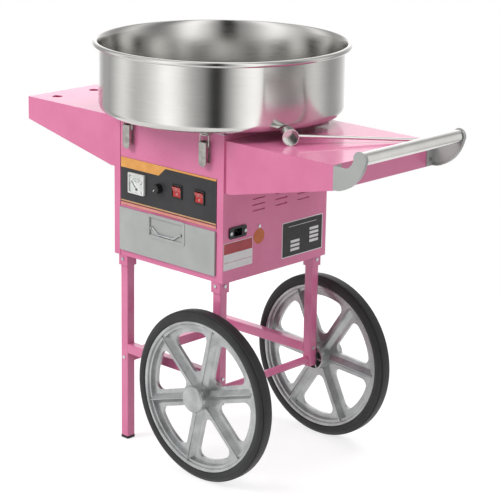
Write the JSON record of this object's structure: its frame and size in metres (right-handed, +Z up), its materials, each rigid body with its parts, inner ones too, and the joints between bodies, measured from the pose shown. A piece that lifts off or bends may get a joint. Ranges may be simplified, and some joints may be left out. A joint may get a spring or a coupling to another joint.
{
  "type": "candy floss machine cart",
  "caption": "Electric candy floss machine in a pink sheet-metal cabinet on a two-wheel cart, with a wide lift-off steel bowl, side shelves, a drawer and a push handle",
  "frame": {"origin": "on the ground, midway between the ends of the shelves and handle and between the bowl's sides", "axes": "+X along the shelves towards the push handle and wheels, -Y out of the control panel, +Z up"},
  "size_m": [0.926, 0.52, 0.8485],
  "materials": {
    "pink_enamel": "glossy stoved enamel on folded sheet and tube",
    "grey_enamel": "satin light grey enamel",
    "galvanised_steel": "plain zinc-coated sheet",
    "stainless": "brushed stainless sheet and tube",
    "zinc_plate": "zinc-plated steel",
    "bright_chrome": "bright plated pressings and wire",
    "silver_nylon": "moulded silver-grey nylon",
    "tyre_rubber": "solid black rubber",
    "black_rubber": "moulded black rubber",
    "printed_panel": "dark screen-printed panel with an orange header",
    "black_plastic": "moulded black plastic",
    "white_plastic": "white dial in a light moulded case",
    "clear_window": "clear flat window",
    "red_plastic": "translucent red plastic",
    "spun_aluminium": "spun aluminium",
    "heater_ceramic": "ceramic carrier of the heating wire",
    "motor_paint": "black enamelled motor can"
  },
  "bodies": {
    "root": {"left_front_leg": "pink_enamel", "left_rear_leg": "pink_enamel", "right_front_leg": "pink_enamel", "right_rear_leg": "pink_enamel", "leg_sockets": "pink_enamel", "front_rail": "pink_enamel", "rear_rail": "pink_enamel", "left_rail": "pink_enamel", "axle_tube": "pink_enamel", "left_side_panel": "pink_enamel", "right_side_panel": "pink_enamel", "front_panel": "pink_enamel", "back_panel": "pink_enamel", "left_shelf": "pink_enamel", "right_shelf": "pink_enamel", "handle_brackets": "grey_enamel", "base_plate": "galvanised_steel", "top_plate": "galvanised_steel", "handle_tube": "stainless", "frame_screws": "zinc_plate", "axle_rod": "zinc_plate", "latch_bases": "bright_chrome", "foot_caps": "black_rubber", "motor_mounts": "black_rubber", "control_panel": "printed_panel", "rocker_housings": "black_plastic", "power_inlet": "black_plastic", "brush_block": "black_plastic", "voltmeter_case": "white_plastic", "voltmeter_window": "clear_window", "motor": "motor_paint"},
    "front_wheel": {"front_wheel_rim": "silver_nylon", "front_tyre": "tyre_rubber", "front_hub_cap": "silver_nylon"},
    "rear_wheel": {"rear_wheel_rim": "silver_nylon", "rear_tyre": "tyre_rubber", "rear_hub_cap": "silver_nylon"},
    "spinner": {"spinner_base": "spun_aluminium", "spinner_band": "spun_aluminium", "spinner_cover": "spun_aluminium", "heater_ring": "heater_ceramic", "spindle": "zinc_plate"},
    "drawer": {"drawer_tray": "grey_enamel", "drawer_pull_plate": "stainless"},
    "drawer_handle": {"drawer_bail": "zinc_plate"},
    "knob": {"heat_knob": "black_plastic"},
    "heater_switch": {"heater_rocker": "red_plastic"},
    "motor_switch": {"motor_rocker": "red_plastic"},
    "needle": {"voltmeter_needle": "black_plastic"},
    "floss_bowl": {"bowl": "stainless", "bowl_catches": "stainless"},
    "scoop": {"sugar_scoop": "stainless"},
    "left_front_lever": {"left_front_latch_lever": "bright_chrome"},
    "left_front_bail": {"left_front_latch_bail": "bright_chrome"},
    "left_rear_lever": {"left_rear_latch_lever": "bright_chrome"},
    "left_rear_bail": {"left_rear_latch_bail": "bright_chrome"},
    "right_front_lever": {"right_front_latch_lever": "bright_chrome"},
    "right_front_bail": {"right_front_latch_bail": "bright_chrome"},
    "right_rear_lever": {"right_rear_latch_lever": "bright_chrome"},
    "right_rear_bail": {"right_rear_latch_bail": "bright_chrome"}
  },
  "joints": [
    {"name": "front_wheel_spin", "type": "hinge", "parent": "root", "child": "front_wheel", "pos_m": [0.0945, -0.1785, 0.175], "axis": [0, 1, 0], "continuous": true},
    {"name": "rear_wheel_spin", "type": "hinge", "parent": "root", "child": "rear_wheel", "pos_m": [0.0945, 0.1785, 0.175], "axis": [0, 1, 0], "continuous": true},
    {"name": "spinner_spin", "type": "hinge", "parent": "root", "child": "spinner", "pos_m": [-0.038, 0, 0.722], "axis": [0, 0, 1], "continuous": true},
    {"name": "drawer_slide", "type": "slide", "parent": "root", "child": "drawer", "axis": [0, -1, 0], "range_m": [0, 0.2]},
    {"name": "drawer_handle_swing", "type": "hinge", "parent": "drawer", "child": "drawer_handle", "pos_m": [-0.038, -0.1564, 0.4805], "axis": [-1, 0, 0], "range_deg": [0, 90]},
    {"name": "heat_knob_turn", "type": "hinge", "parent": "root", "child": "knob", "pos_m": [-0.062, -0.152, 0.564], "axis": [0, 1, 0], "range_deg": [0, 270]},
    {"name": "heater_switch_rock", "type": "hinge", "parent": "root", "child": "heater_switch", "pos_m": [-0.0107, -0.15, 0.567], "axis": [-1, 0, 0], "range_deg": [0, 16]},
    {"name": "motor_switch_rock", "type": "hinge", "parent": "root", "child": "motor_switch", "pos_m": [0.0516, -0.15, 0.567], "axis": [-1, 0, 0], "range_deg": [0, 16]},
    {"name": "needle_swing", "type": "hinge", "parent": "root", "child": "needle", "pos_m": [-0.1245, -0.154, 0.551], "axis": [0, 1, 0], "range_deg": [0, 90], "stiffness_Nm_per_rad": 0.00002, "springref_deg": -5.73},
    {"name": "bowl_lift", "type": "slide", "parent": "root", "child": "floss_bowl", "axis": [0, 0, 1], "range_m": [0, 0.2]},
    {"name": "scoop_lift", "type": "slide", "parent": "root", "child": "scoop", "axis": [0, -0.6, 0.8], "range_m": [0, 0.2]},
    {"name": "left_front_latch_open", "type": "hinge", "parent": "root", "child": "left_front_lever", "pos_m": [-0.145, -0.158, 0.679], "axis": [-1, 0, 0], "range_deg": [0, 100]},
    {"name": "left_front_bail_swing", "type": "hinge", "parent": "left_front_lever", "child": "left_front_bail", "pos_m": [-0.145, -0.158, 0.673], "axis": [-1, 0, 0], "range_deg": [-100, 0]},
    {"name": "left_rear_latch_open", "type": "hinge", "parent": "root", "child": "left_rear_lever", "pos_m": [-0.145, 0.158, 0.679], "axis": [1, 0, 0], "range_deg": [0, 100]},
    {"name": "left_rear_bail_swing", "type": "hinge", "parent": "left_rear_lever", "child": "left_rear_bail", "pos_m": [-0.145, 0.158, 0.673], "axis": [1, 0, 0], "range_deg": [-100, 0]},
    {"name": "right_front_latch_open", "type": "hinge", "parent": "root", "child": "right_front_lever", "pos_m": [0.069, -0.158, 0.679], "axis": [-1, 0, 0], "range_deg": [0, 100]},
    {"name": "right_front_bail_swing", "type": "hinge", "parent": "right_front_lever", "child": "right_front_bail", "pos_m": [0.069, -0.158, 0.673], "axis": [-1, 0, 0], "range_deg": [-100, 0]},
    {"name": "right_rear_latch_open", "type": "hinge", "parent": "root", "child": "right_rear_lever", "pos_m": [0.069, 0.158, 0.679], "axis": [1, 0, 0], "range_deg": [0, 100]},
    {"name": "right_rear_bail_swing", "type": "hinge", "parent": "right_rear_lever", "child": "right_rear_bail", "pos_m": [0.069, 0.158, 0.673], "axis": [1, 0, 0], "range_deg": [-100, 0]}
  ],
  "couplings": [
    {"joint": "left_front_bail_swing", "follows": "left_front_latch_open", "ratio": -1},
    {"joint": "left_rear_bail_swing", "follows": "left_rear_latch_open", "ratio": -1},
    {"joint": "right_front_bail_swing", "follows": "right_front_latch_open", "ratio": -1},
    {"joint": "right_rear_bail_swing", "follows": "right_rear_latch_open", "ratio": -1}
  ]
}
